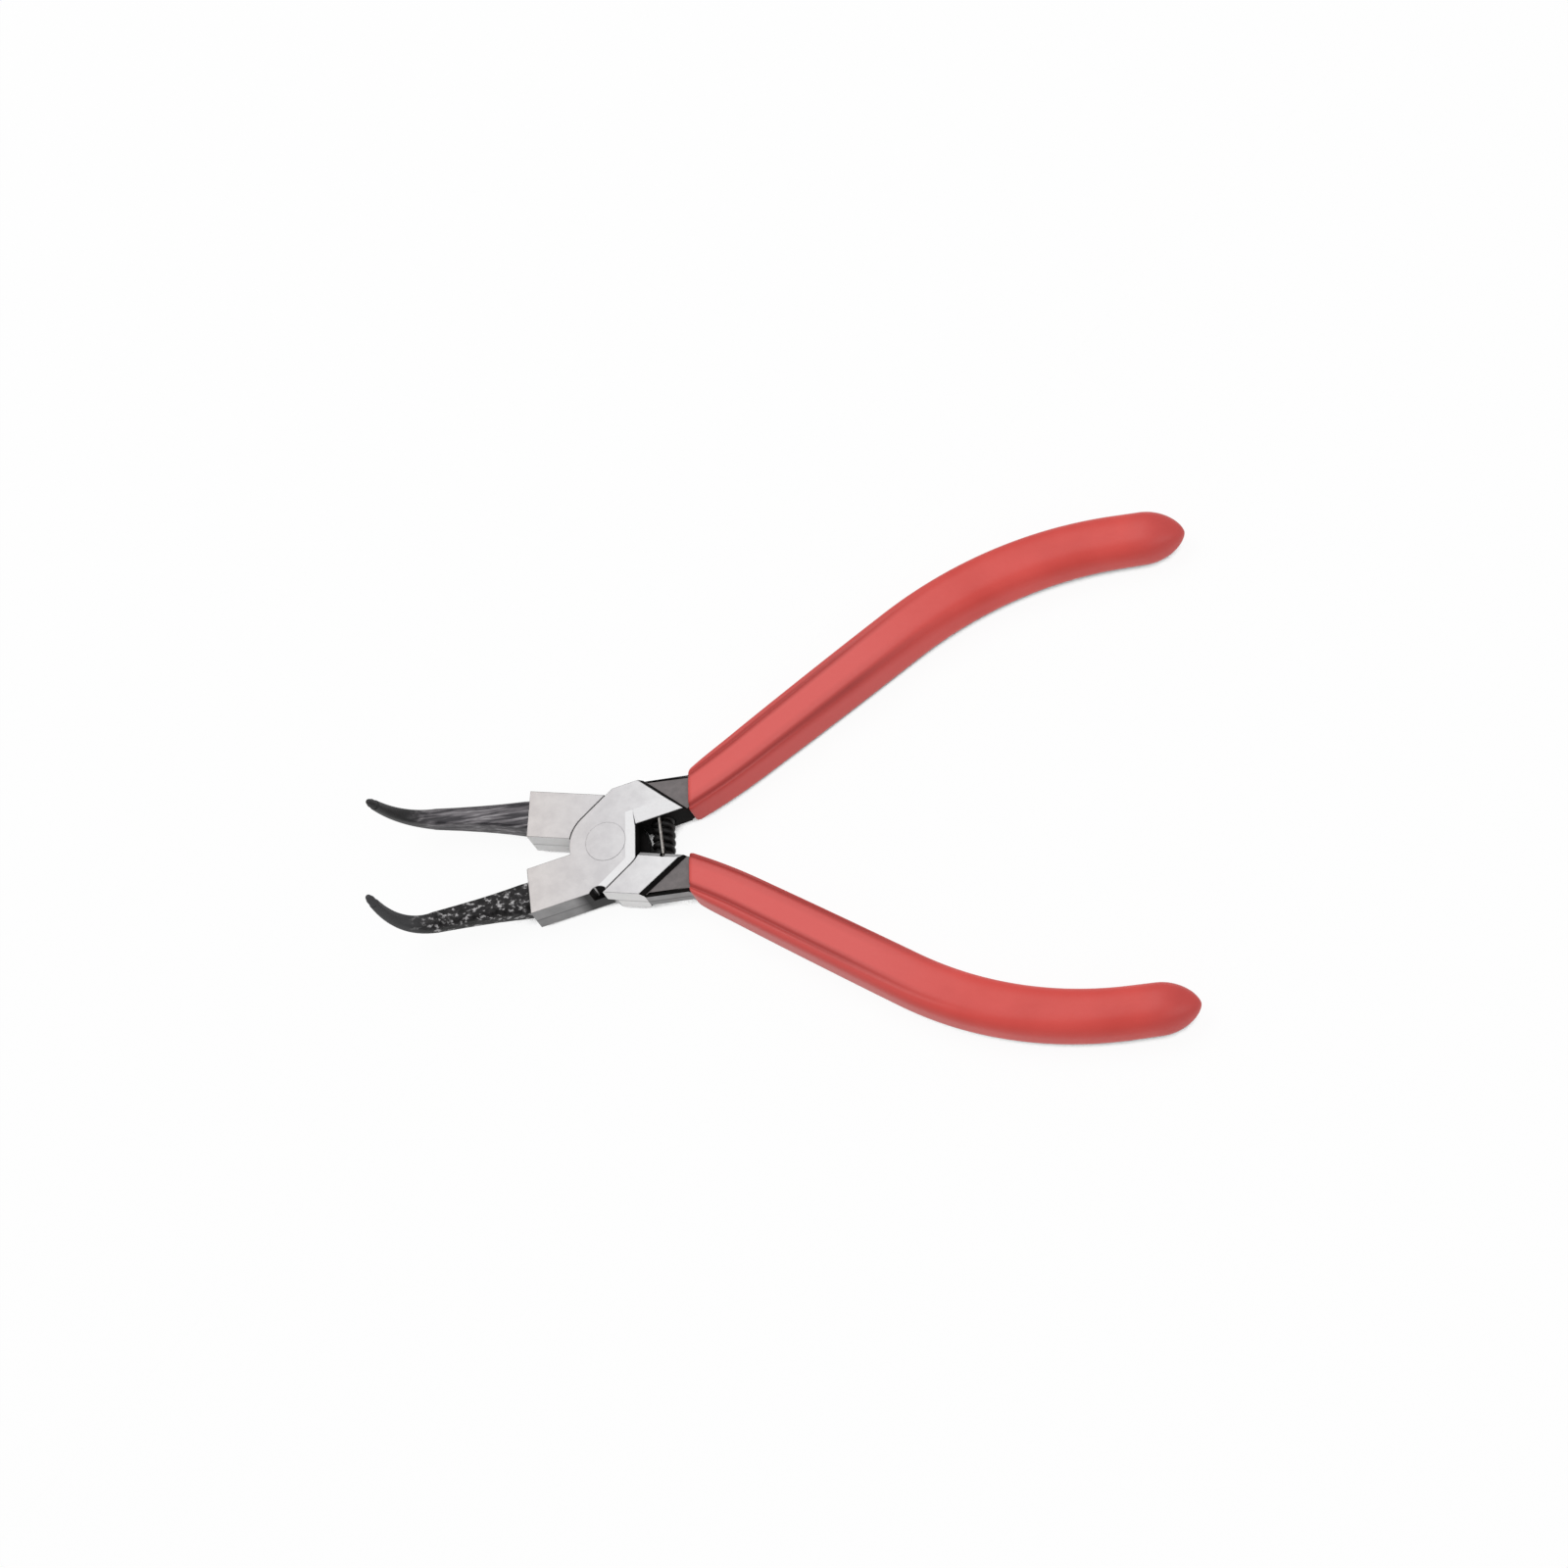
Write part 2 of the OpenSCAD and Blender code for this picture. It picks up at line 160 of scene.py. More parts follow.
def steel_finish(name, stops, metallic, rough, scale, bump_depth, gloss=0.5, draw=1.0, lie=0.0):
    """Steel with clouded tones and relief. A draw under 1 pulls the grain out along X, turned by lie."""
    mat = bpy.data.materials.new(name)
    mat.use_nodes = True
    coords = finish_step(mat, "TexCoord", {})
    drawn = finish_step(mat, "Mapping", {
        "Vector": coords.outputs["Object"],
        "Scale": (draw, 1, 1),
        "Rotation": (0, 0, lie),
    })
    noise = finish_step(mat, "TexNoise", {
        "Vector": drawn.outputs["Vector"],
        "Scale": scale,
        "Detail": 5.0,
        "Roughness": 0.6,
    })
    grain = noise.outputs["Fac"]
    sheen = finish_step(mat, "MapRange", {"Value": grain, "To Min": rough - 0.08, "To Max": rough + 0.10})
    bump = finish_step(mat, "Bump", {"Height": grain, "Strength": SCALE_RELIEF, "Distance": bump_depth})
    connect_finish(mat, finish_surface(mat), {
        "Base Color": finish_tones(mat, grain, *stops),
        "Metallic": metallic,
        "Roughness": sheen.outputs["Result"],
        "Specular IOR Level": gloss,
        "Normal": bump.outputs["Normal"],
    })
    return mat


def ground_steel():
    """Ground steel, warmer at the jaws, with painted light that makes it paler towards the roots, and with
    the wheel's slanted marks.
    """
    stops = cloudy_tones((0.78, 0.775, 0.78), grey(1))
    mat = steel_finish("ground_steel", stops, metallic=0.75, rough=0.42, scale=330.0, bump_depth=0.02 * MM)
    run = finish_step(mat, "MapRange", {
        "Value": piece_axes(mat)["X"],
        "From Min": -BLOCK_REACH,
        "From Max": 2 * LAP_R,
    })
    # Painted light: the faces are painted paler from the jaws towards the roots.
    tone_and_shade_finish(mat, finish_tones(
        mat, run.outputs["Result"],
        (0.0, (0.44, 0.415, 0.405)),
        (0.5, (0.435, 0.425, 0.43)),
        (1.0, (0.53, 0.53, 0.535)),
    ))
    coords = finish_step(mat, "TexCoord", {})
    wheel = finish_step(mat, "Mapping", {
        "Vector": coords.outputs["Object"],
        "Rotation": (0, 0, math.radians(38)),
        "Scale": (60, 2600, 60),
    })
    marks = finish_step(mat, "TexNoise", {"Vector": wheel.outputs["Vector"], "Scale": 1.0, "Detail": 4.0})
    bump = finish_step(mat, "Bump", {
        "Height": marks.outputs["Fac"],
        "Strength": 0.12,
        "Distance": 0.1 * MM,
    })
    connect_finish(mat, finish_surface(mat), {"Normal": bump.outputs["Normal"]})
    return mat


def parted_wall(name, stops, metallic, low, seam, high, relief_shade):
    """The wall of a lever, with the forging's parting line halfway up, its two halves in the tones given,
    and painted shade in the relief.
    """
    mat = steel_finish(name, stops, metallic, SCALE_ROUGH, scale=420.0, bump_depth=0.04 * MM)
    axes = piece_axes(mat)
    level = finish_step(mat, "MapRange", {"Value": axes["Z"], "From Max": HEAD_T})
    tone_and_shade_finish(mat, finish_tones(
        mat, level.outputs["Result"],
        (0.42, grey(low)),
        (0.47, grey(seam)),
        (0.52, grey(high)),
    ))
    # Painted shade: the wall is darkened across the relief notch, where shade falls.
    run = finish_step(mat, "MapRange", {"Value": axes["X"], "From Min": -LAP_R, "From Max": LAP_R})
    tone_and_shade_finish(mat, finish_tones(
        mat, run.outputs["Result"],
        (0.04, grey(1)),
        (0.20, grey(relief_shade)),
        (0.70, grey(relief_shade)),
        (0.85, grey(1)),
    ))
    return mat


def nose_scale(name, stops, tip, scale, bump_depth, gloss, draw, lie):
    """The scale of a nose, which fades into a smooth dark tip at the bend."""
    mat = steel_finish(name, stops, 0.2, SCALE_ROUGH, scale, bump_depth, gloss, draw, lie)
    reach = finish_step(mat, "MapRange", {
        "Value": piece_axes(mat)["X"],
        "From Min": -BEND_REACH - SCALE_FADE_OUT,
        "From Max": -BEND_REACH + SCALE_FADE_IN,
    }).outputs["Result"]
    shader = finish_surface(mat)
    smooth = finish_step(mat, "Mix", {
        "Factor": reach,
        "A": (tip, tip, tip * 1.04, 1),
        "B": shader.inputs["Base Color"].links[0].from_socket,
    }, data_type="RGBA")
    depth = finish_step(mat, "MapRange", {"Value": reach, "To Min": 0.05, "To Max": SCALE_RELIEF})
    connect_finish(mat, shader, {"Base Color": smooth.outputs["Result"]})
    connect_finish(mat, shader.inputs["Normal"].links[0].from_node, {"Strength": depth.outputs["Result"]})
    return mat


LEVER_FINISHES = [
    ground_steel(),
    nose_scale(
        "forging_scale",
        ((0.42, (0.026, 0.023, 0.028)), (0.57, (0.165, 0.152, 0.163)), (0.66, (0.36, 0.35, 0.36))),
        tip=0.023, scale=1500.0, bump_depth=0.2 * MM, gloss=0.4, draw=0.07, lie=NOSE_LIE,
    ),
    parted_wall(
        "satin_wall", cloudy_tones((0.32, 0.316, 0.318), (0.42, 0.413, 0.416)),
        metallic=0.4, low=0.72, seam=0.36, high=0.82, relief_shade=0.04,
    ),
    # Painted reflection: a steel wall painted near white, whitest on its lower half, as the white table
    # would show in it.
    parted_wall(
        "pale_wall_painted_reflection", cloudy_tones((0.93, 0.925, 0.92), (0.98, 0.975, 0.97)),
        metallic=0.0, low=1.0, seam=0.55, high=0.96, relief_shade=1.0,
    ),
    steel_finish(
        "blued_root", cloudy_tones((0.11, 0.098, 0.098), (0.16, 0.142, 0.142)),
        metallic=0.3, rough=0.5, scale=700.0, bump_depth=0.05 * MM,
    ),
    # Black oxide painted darker still, as painted shade on the walls inside the joint and crotch.
    steel_finish(
        "black_and_painted_shade", cloudy_tones((0.004, 0.004, 0.004), (0.009, 0.008, 0.008)),
        metallic=0.0, rough=0.7, scale=600.0, bump_depth=0.05 * MM, gloss=0.08,
    ),
    # Polished edge with a painted highlight: brighter than the ground faces, where bevels would catch the
    # light.
    steel_finish(
        "polished_edge_highlight", cloudy_tones((0.45, 0.445, 0.45), (0.52, 0.52, 0.525)),
        metallic=0.75, rough=0.42, scale=420.0, bump_depth=0.02 * MM,
    ),
]


def lever_finish(place, normal):
    """The finish of a face, from its middle and normal on the front lever with the tool shut."""
    flat = abs(normal.z)
    on_root = place.x / ROOT_LINE_X + place.y / ROOT_LINE_Y > 1
    if place.x < -BLOCK_REACH - 2 * ROOT_NEAR:
        return FORGED
    # Ground faces, and slightly tilted bevels that get the polished finish with its painted highlight.
    if flat > FACE_FLATTISH and abs(place.z - MID_Z) > MID_Z - FACE_DEPTH:
        return POLISHED_HIGHLIGHT if FACE_BEVELLED < flat < FACE_LEVEL else GROUND
    if flat > WALL_FACING and on_root:
        return ROOT
    # Walls facing +Y with the tool shut get the pale painted reflection, and walls facing -Y get the satin
    # tone.
    if abs(normal.y) > WALL_FACING and place.x < JAW_X_MOST:
        return PALE_REFLECTION if normal.y > 0 else SATIN
    if normal.y > WALL_FACING and place.y > LAP_R:
        return SATIN if on_root else PALE_REFLECTION
    from_rivet = abs(place.x * normal.x + place.y * normal.y)
    if flat < SEAM_UPRIGHT and abs(from_rivet - LAP_R) < SEAM_NEAR and place.x < SEAM_X_MOST:
        return GROUND
    # The walls inside the joint and crotch get the black with painted shade.
    return BLACK_AND_SHADE


def lever_piece(node, name, body, side, forging):
    """A lever from its CAD mesh, with a tapered tip, finishes, a chamfered root and soft edges."""
    to_shut = Matrix.Scale(side, 3, (0, 1, 0)) @ Matrix.Rotation(-side * HALF_OPEN, 3, "Z")
    bpy.ops.object.select_all(action="DESELECT")
    piece = bpy.data.objects.new(name, frame["nodes"][node].data.copy())
    bpy.context.scene.collection.objects.link(piece)
    bpy.context.view_layer.objects.active = piece
    piece.select_set(True)
    piece.data.materials.clear()
    for finish in LEVER_FINISHES:
        piece.data.materials.append(finish)
    piece.data.materials[FORGED] = forging
    bpy.ops.object.mode_set(mode="EDIT")
    bpy.ops.mesh.select_all(action="SELECT")
    bpy.ops.mesh.remove_doubles(threshold=LEVER_WELD)
    bpy.ops.mesh.dissolve_limited(angle_limit=LEVER_SAME_FACE)
    bpy.ops.mesh.select_all(action="DESELECT")
    mount = next(m for m in frame["record"]["mounts"] if m["name"] == node.replace("lever", "tip"))
    pin_mid, pin_axis = Vector(mount["pos_m"]), Vector(mount["axis"])
    bm = bmesh.from_edit_mesh(piece.data)
    for face in bm.faces:
        face.select_set((face.calc_center_median() - pin_mid).length < TIP_NEAR)
    bmesh.update_edit_mesh(piece.data)
    bpy.ops.mesh.bisect(plane_co=pin_mid + TAPER_FROM * pin_axis, plane_no=pin_axis)
    bpy.ops.mesh.select_all(action="DESELECT")
    bm = bmesh.from_edit_mesh(piece.data)
    for vertex in bm.verts:
        along = (vertex.co - pin_mid).dot(pin_axis)
        out = vertex.co - pin_mid - along * pin_axis
        if along > TAPER_FROM and out.length < TIP_R_MOST:
            vertex.co -= out * TAPER_PER_MM * (along - TAPER_FROM) / MM
    for face in bm.faces:
        face.material_index = lever_finish(to_shut @ face.calc_center_median(), to_shut @ face.normal)
    for edge in bm.edges:
        ends = [vertex.co for vertex in edge.verts]
        shut = [to_shut @ end for end in ends]
        on_root = all(abs(abs(end.z - MID_Z) - TANG_T / 2) < ROOT_NEAR for end in ends)
        outside = all(end.x < CHAMFER_X_MOST and end.y > CHAMFER_Y_LEAST for end in shut)
        sharp = edge.is_convex and edge.calc_face_angle(0) > ROOT_SHARP_FROM
        edge.select_set(on_root and outside and sharp)
    bmesh.update_edit_mesh(piece.data)
    bpy.ops.mesh.bevel(offset=ROOT_CHAMFER, segments=1, affect="EDGES", material=BLACK_AND_SHADE)
    bpy.ops.object.mode_set(mode="OBJECT")
    soft = piece.modifiers.new("edges", "BEVEL")
    soft.width = LEVER_EDGE_SOFT
    soft.segments = 2
    soft.limit_method = "ANGLE"
    soft.angle_limit = LEVER_SOFT_FROM
    soft.use_clamp_overlap = False
    bpy.ops.object.modifier_apply(modifier=soft.name)
    bpy.ops.object.shade_smooth_by_angle(angle=LEVER_SMOOTH_TO)
    for poly in piece.data.polygons:
        if poly.material_index in (GROUND, SATIN, PALE_REFLECTION, ROOT, POLISHED_HIGHLIGHT):
            poly.use_smooth = False
    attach(piece, body)
    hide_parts(node)
    return piece


lever_piece("rear_lever", "rear_lever_forging", "rear_half", -1, LEVER_FINISHES[FORGED])


# Front lever: the matching forging, with the lower jaw, the front lap of the joint and the upper
# handle's tang. Its nose is pitted, and its lap has a painted highlight, a brighter band along the crotch
# and shoulder.
CROTCH_X = 6.4 * MM
CROTCH_BAND = 2.15 * MM
SHOULDER_BAND = 0.8 * CROTCH_BAND
BEVEL_Y = 5.0 * MM
# The way that the straight shoulder faces with the tool shut.
SHOULDER_A = math.radians(30)
SHOULDER = Vector((math.sin(SHOULDER_A), -math.cos(SHOULDER_A), 0))
# The pitted nose's tip is painted lighter than the other nose's tip, a painted highlight on its broad face.
PITTED = nose_scale(
    "pitted_scale",
    ((0.36, (0.004, 0.004, 0.004)), (0.55, (0.028, 0.026, 0.027)), (0.63, (0.42, 0.41, 0.415))),
    tip=0.062, scale=900.0, bump_depth=0.4 * MM, gloss=0.2, draw=0.8, lie=0.0,
)
front_lever = lever_piece("front_lever", "front_lever_forging", "front_half", 1, PITTED)
to_open = Matrix.Rotation(HALF_OPEN, 3, "Z")
band_x = CROTCH_X - CROTCH_BAND
band_s = LAP_R - SHOULDER_BAND


def on_lap_face(face):
    """Whether a face belongs to the ground front of the lever."""
    return face.material_index == GROUND and face.normal.z > FACE_LEVEL


bpy.ops.object.select_all(action="DESELECT")
bpy.context.view_layer.objects.active = front_lever
front_lever.select_set(True)
bpy.ops.object.mode_set(mode="EDIT")
for place, facing in (
    (Vector((band_x, 0, 0)), Vector((1, 0, 0))),
    (to_open @ Vector((0, BEVEL_Y, 0)), to_open @ Vector((0, 1, 0))),
    (to_open @ (band_s * SHOULDER), to_open @ SHOULDER),
):
    bm = bmesh.from_edit_mesh(front_lever.data)
    for face in bm.faces:
        face.select_set(on_lap_face(face))
    bmesh.update_edit_mesh(front_lever.data)
    bpy.ops.mesh.bisect(plane_co=place, plane_no=facing)
bm = bmesh.from_edit_mesh(front_lever.data)
for face in bm.faces:
    middle = face.calc_center_median()
    shut = to_open.transposed() @ middle
    by_crotch = middle.x > band_x and shut.y < BEVEL_Y
    by_shoulder = shut.dot(SHOULDER) > band_s
    if on_lap_face(face) and (by_crotch or by_shoulder):
        face.material_index = POLISHED_HIGHLIGHT
bmesh.update_edit_mesh(front_lever.data)
bpy.ops.object.mode_set(mode="OBJECT")


# Rivet: a plain steel rivet through both laps, set into countersinks and ground flush with them,
# so only a hairline ring shows on each face.
rivet = frame["nodes"]["pivot_rivet"]
rivet.data.materials.clear()
rivet.data.materials.append(LEVER_FINISHES[GROUND])


# Guide pin: a thin bright rod pressed into the front lever's root. It keeps the coil in its place
# and slides into a slot in the rear lever as the handles shut.
pin = frame["nodes"]["spring_guide_pin"]
pin.data.materials.clear()
pin.data.materials.append(steel_finish(
    "bright_wire", cloudy_tones((0.24, 0.225, 0.21), (0.42, 0.40, 0.38)),
    metallic=0.6, rough=0.36, scale=1500.0, bump_depth=0.01 * MM,
))


# Return spring: black spring wire wound into a short coil with closed ends. It sits in a pocket in
# each handle root and bows a little while the tool is open.
SPRING_TURNS = 6.25
CLOSED_TURNS = 0.8
CLOSED_PITCH = 0.85
SPRING_R = 2.4 * MM
WIRE_R = 0.68 * MM
COIL_R = SPRING_R - WIRE_R
END_GAP = 0.08 * MM
CROTCH_Y = 1.8 * MM
POCKET_DEPTH = 1.6 * MM
SWEEP = HALF_OPEN / 2
SPRING_X = 11.5 * MM
SPRING_DROP = 0.6 * MM
SPRING_Z = MID_Z - SPRING_DROP
WALL_Y = CROTCH_Y / math.cos(SWEEP) + SPRING_X * math.tan(SWEEP)
FLOOR_L = WALL_Y + POCKET_DEPTH + SPRING_X * math.tan(SWEEP)
BOW_R = FLOOR_L / math.tan(SWEEP)
BOW_X = (SPRING_X - BOW_R) / math.cos(SWEEP)
BOW_A = (FLOOR_L - WIRE_R - END_GAP) / BOW_R
CLOSED_A = 2 * WIRE_R * CLOSED_PITCH / BOW_R
CLOSED_SHARE = CLOSED_TURNS / SPRING_TURNS
SPRING_LEAD = 10 * MM
SPRING_SMOOTH_TO = math.radians(50)
WIRE_STEPS = 220
WIRE_SIDES = 14


def spring_bow_angle(share):
    """The place on the bow of a share of the wire's turns, which lie close at both ends."""
    if share < CLOSED_SHARE:
        return -BOW_A + CLOSED_A * share / CLOSED_SHARE
    if share > 1 - CLOSED_SHARE:
        return BOW_A - CLOSED_A * (1 - share) / CLOSED_SHARE
    return -BOW_A + CLOSED_A + 2 * (BOW_A - CLOSED_A) * (share - CLOSED_SHARE) / (1 - 2 * CLOSED_SHARE)


bpy.ops.object.select_all(action="DESELECT")
bpy.ops.mesh.primitive_circle_add(
    vertices=WIRE_SIDES, radius=WIRE_R, location=(COIL_R, 0, 0), rotation=(math.pi / 2, 0, 0),
)
spring = bpy.context.object
spring.name = "return_spring_coil"
bpy.ops.object.transform_apply(location=True, rotation=True, scale=True)
wind = spring.modifiers.new("wind", "SCREW")
wind.axis = "Z"
wind.angle = math.tau * SPRING_TURNS
wind.screw_offset = SPRING_LEAD
wind.steps = WIRE_STEPS
wind.render_steps = WIRE_STEPS
wind.use_merge_vertices = False
bpy.ops.object.modifier_apply(modifier=wind.name)
rings = len(spring.data.vertices) // WIRE_SIDES
for number, vertex in enumerate(spring.data.vertices):
    share = (number // WIRE_SIDES) / (rings - 1)
    offset = vertex.co.z - SPRING_LEAD * share
    angle = spring_bow_angle(share)
    out = Vector((math.cos(angle), math.sin(angle), 0))
    along = Vector((-math.sin(angle), math.cos(angle), 0))
    middle = Vector((BOW_X, 0, SPRING_Z + vertex.co.y))
    vertex.co = middle + (BOW_R + vertex.co.x) * out + offset * along
bpy.ops.object.mode_set(mode="EDIT")
bpy.ops.mesh.select_all(action="SELECT")
bpy.ops.mesh.region_to_loop()
bpy.ops.mesh.edge_face_add()
bpy.ops.mesh.select_all(action="SELECT")
bpy.ops.mesh.normals_make_consistent(inside=False)
bpy.ops.object.mode_set(mode="OBJECT")
bpy.ops.object.shade_smooth_by_angle(angle=SPRING_SMOOTH_TO)
spring.data.materials.append(steel_finish(
    "spring_black", cloudy_tones((0.005, 0.005, 0.005), (0.016, 0.015, 0.015)),
    metallic=0.2, rough=0.45, scale=800.0, bump_depth=0.02 * MM, gloss=0.3,
))
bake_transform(spring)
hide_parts("return_spring")


# Grips: each tang is dipped in red vinyl, which cures to a satin skin. It stays flat-faced near the
# root, fills out at the palm bend and drains into a rounded end. The dip line is square to the tool.
# Lengths in this section are in millimetres, and u is a share of the sleeve from the root to its end.
HANDLE_START = Vector((8.58, 2.808))
HANDLE_START_A = math.radians(15.8)
ROOT_R = 126.92
PALM_R = 83.5
# The runs of a handle's middle line: how long each is, and how it curves.
HANDLE = (
    (11.7, 0),
    (ROOT_R * math.radians(6.2), 1 / ROOT_R),
    (39.0, 0),
    (PALM_R * math.radians(33.3), -1 / PALM_R),
    (14.5, 0),
)
HANDLE_LENGTH = sum(length for length, curve in HANDLE)
ROOT_REACH = 18
DIP_GAP = 0.3
DIP_X = ROOT_REACH * math.cos(HALF_OPEN) - CROTCH_Y / MM * math.sin(HALF_OPEN) + DIP_GAP
DIP_A = HANDLE_START_A + HALF_OPEN
OPEN_START_X = HANDLE_START.x * math.cos(HALF_OPEN) - HANDLE_START.y * math.sin(HALF_OPEN)
DIP_S = (DIP_X - OPEN_START_X) / math.cos(DIP_A)
SLEEVE = HANDLE_LENGTH - DIP_S
SLANT_SHARE = 0.2
SLEEVE_LEAD = 4
TANG_HALF = 3.4
GRIP_WALL = 1.0
GRIP_SWELL = 0.95
GRIP_SWELL_TURN = math.radians(135)
GRIP_HALF_T = 4.5
ROOT_HALF_T = TANG_T / MM / 2 + GRIP_WALL
GRIP_END_SQUARENESS = 2.7
GRIP_ROOT_SQUARENESS = 5.3
GRIP_CAP = 8.5
GRIP_CAP_POWER = 1.9
GRIP_CAP_ROUND = 0.62
GRIP_CAP_LEAST = 0.02
GRIP_LIP = 0.55
GRIP_LIP_RUN = 1.1
GRIP_DRAWN_IN = 0.85
GRIP_DRAWN_RUN = 4
FOLD_OUT = 0.6
FOLD_IN = 0.84
FOLD_W = 0.085
FOLD_DEPTH = 0.5
FOLD_END = 0.65
GRIP_WELD = 0.001
GRIP_SMOOTH_TO = math.radians(60)
GRIP_SIDES = 144
GRIP_CUTS = 99
# Shares of the rings, up to the end of the lip and up to the rounded end.
LIP_RINGS = 0.08
CAP_RINGS = 0.8


def handle_line(s):
    """The point and direction of the handle's middle line at a length s along it."""
    point, angle = HANDLE_START.copy(), HANDLE_START_A
    for length, curve in HANDLE:
        step = min(s, length)
        if curve:
            end = angle + curve * step
            point += Vector((math.sin(end) - math.sin(angle), math.cos(angle) - math.cos(end))) / curve
            angle = end
        else:
            point += step * Vector((math.cos(angle), math.sin(angle)))
        s -= step
        if s <= 0:
            break
    return point, angle


def sleeve_run(share):
    """How far along the sleeve a ring lies, with the rings closer at the lip and on the rounded end."""
    if share < LIP_RINGS:
        return GRIP_LIP_RUN * share / LIP_RINGS
    if share < CAP_RINGS:
        plain = SLEEVE - GRIP_CAP - GRIP_LIP_RUN
        return GRIP_LIP_RUN + (share - LIP_RINGS) / (CAP_RINGS - LIP_RINGS) * plain
    return SLEEVE - GRIP_CAP * (1 - math.sin((share - CAP_RINGS) / (1 - CAP_RINGS) * math.pi / 2))


def squared_section(value, power):
    """A sine or cosine bent towards a square section."""
    return math.copysign(abs(value) ** power, value)


def grip_skin(run, angle):
    """A point of the skin with the tool shut, and where it lies across and along the sleeve."""
    s = DIP_S + run
    u = (run + SLEEVE_LEAD) / (SLEEVE + SLEEVE_LEAD)
    into_cap = max(0.0, (s - (HANDLE_LENGTH - GRIP_CAP)) / GRIP_CAP)
    shrink = max(GRIP_CAP_LEAST, max(0.0, 1 - into_cap ** GRIP_CAP_POWER) ** GRIP_CAP_ROUND)
    feather = max(0.0, 1 - run / GRIP_LIP_RUN)
    lip = GRIP_LIP * (1 - math.sqrt(1 - feather * feather))
    fill = math.sin(math.pi / 2 * min(1, 2 * u))
    wide = (TANG_HALF + GRIP_WALL + GRIP_SWELL * math.sin(GRIP_SWELL_TURN * u)) * shrink - lip
    tall = (ROOT_HALF_T + (GRIP_HALF_T - ROOT_HALF_T) * fill) * shrink - lip
    power = 2 / (GRIP_END_SQUARENESS + GRIP_ROOT_SQUARENESS * (1 - u) ** 2)
    w = wide * squared_section(math.cos(angle), power)
    h = tall * squared_section(math.sin(angle), power)
    lie = (0.5 + 0.5 * w / wide, u)
    w -= GRIP_DRAWN_IN * math.exp(-run / GRIP_DRAWN_RUN) * max(0.0, w / wide) ** 2
    off_fold = w / wide - FOLD_OUT if w > 0 else -w / wide - FOLD_IN
    fold = FOLD_DEPTH * max(0.0, 1 - u / FOLD_END) * math.exp(-(off_fold / FOLD_W) ** 2)
    h -= math.copysign(fold * min(1.0, abs(h) / tall), h)
    s += w * math.tan(DIP_A) * max(0.0, 1 - run / (SLANT_SHARE * SLEEVE)) ** 2
    point, turn = handle_line(s)
    x = point.x - w * math.sin(turn)
    y = point.y + w * math.cos(turn)
    return (x * MM, y * MM, MID_Z + h * MM), lie


def red_vinyl():
    """Satin red vinyl with a painted sheen that makes the first part of the sleeve paler, painted shade in
    the folds, and darker and cooler towards the rounded end.
    """
    mat = bpy.data.materials.new("red_vinyl")
    mat.use_nodes = True
    coords = finish_step(mat, "TexCoord", {})
    cloud = finish_step(mat, "TexNoise", {"Vector": coords.outputs["Object"], "Scale": 70.0, "Detail": 4.0})
    sleeve = finish_step(mat, "SeparateXYZ", {"Vector": coords.outputs["UV"]}).outputs
    reds = ((0.3, (0.64, 0.066, 0.055)), (0.7, (0.73, 0.086, 0.073)))
    # Painted sheen: the base colour turns paler and less saturated over the first part of the sleeve.
    painted_sheen = finish_step(mat, "Mix", {
        "Factor": finish_tones(mat, sleeve["Y"], (0.40, grey(1)), (0.62, grey(0))),
        "A": finish_tones(mat, cloud.outputs["Fac"], *reds),
        "B": (0.715, 0.102, 0.092, 1),
    }, data_type="RGBA")
    connect_finish(mat, finish_surface(mat), {
        "Base Color": painted_sheen.outputs["Result"],
        "Specular IOR Level": 0.3,
    })
    # Painted shade: the folds and edges across the face are darkened, fading out along the sleeve.
    fold_shade_stops = [
        (place, (tone, tone ** 1.3, tone ** 1.3))
        for place, tone in (
            (0.06, 0.55), (0.10, 0.55), (0.19, 0.88), (0.34, 1.0), (0.66, 1.0), (0.77, 0.63), (0.81, 0.63),
        )
    ]
    fade = finish_step(mat, "MapRange", {
        "Value": sleeve["Y"],
        "From Min": 0.36,
        "From Max": 0.58,
        "To Min": 1.0,
        "To Max": 0.0,
    })
    painted_fold_shade = finish_tones(mat, sleeve["X"], (0.0, (0.9, 0.88, 0.88)), *fold_shade_stops, (0.90, (0.92, 0.9, 0.9)))
    tone_and_shade_finish(mat, painted_fold_shade, fade.outputs["Result"])
    tone_and_shade_finish(mat, finish_tones(mat, sleeve["Y"], (0.90, grey(1)), (0.97, (0.8, 0.86, 0.92))))
    grain = finish_step(mat, "TexNoise", {
        "Vector": coords.outputs["Object"],
        "Scale": 1400.0,
        "Detail": 3.0,
    }).outputs["Fac"]
    sheen = finish_step(mat, "MapRange", {"Value": grain, "To Min": 0.36, "To Max": 0.50})
    bump = finish_step(mat, "Bump", {"Height": grain, "Strength": 0.06, "Distance": 0.2 * MM})
    connect_finish(mat, finish_surface(mat), {
        "Roughness": sheen.outputs["Result"],
        "Normal": bump.outputs["Normal"],
    })
    return mat


VINYL = red_vinyl()


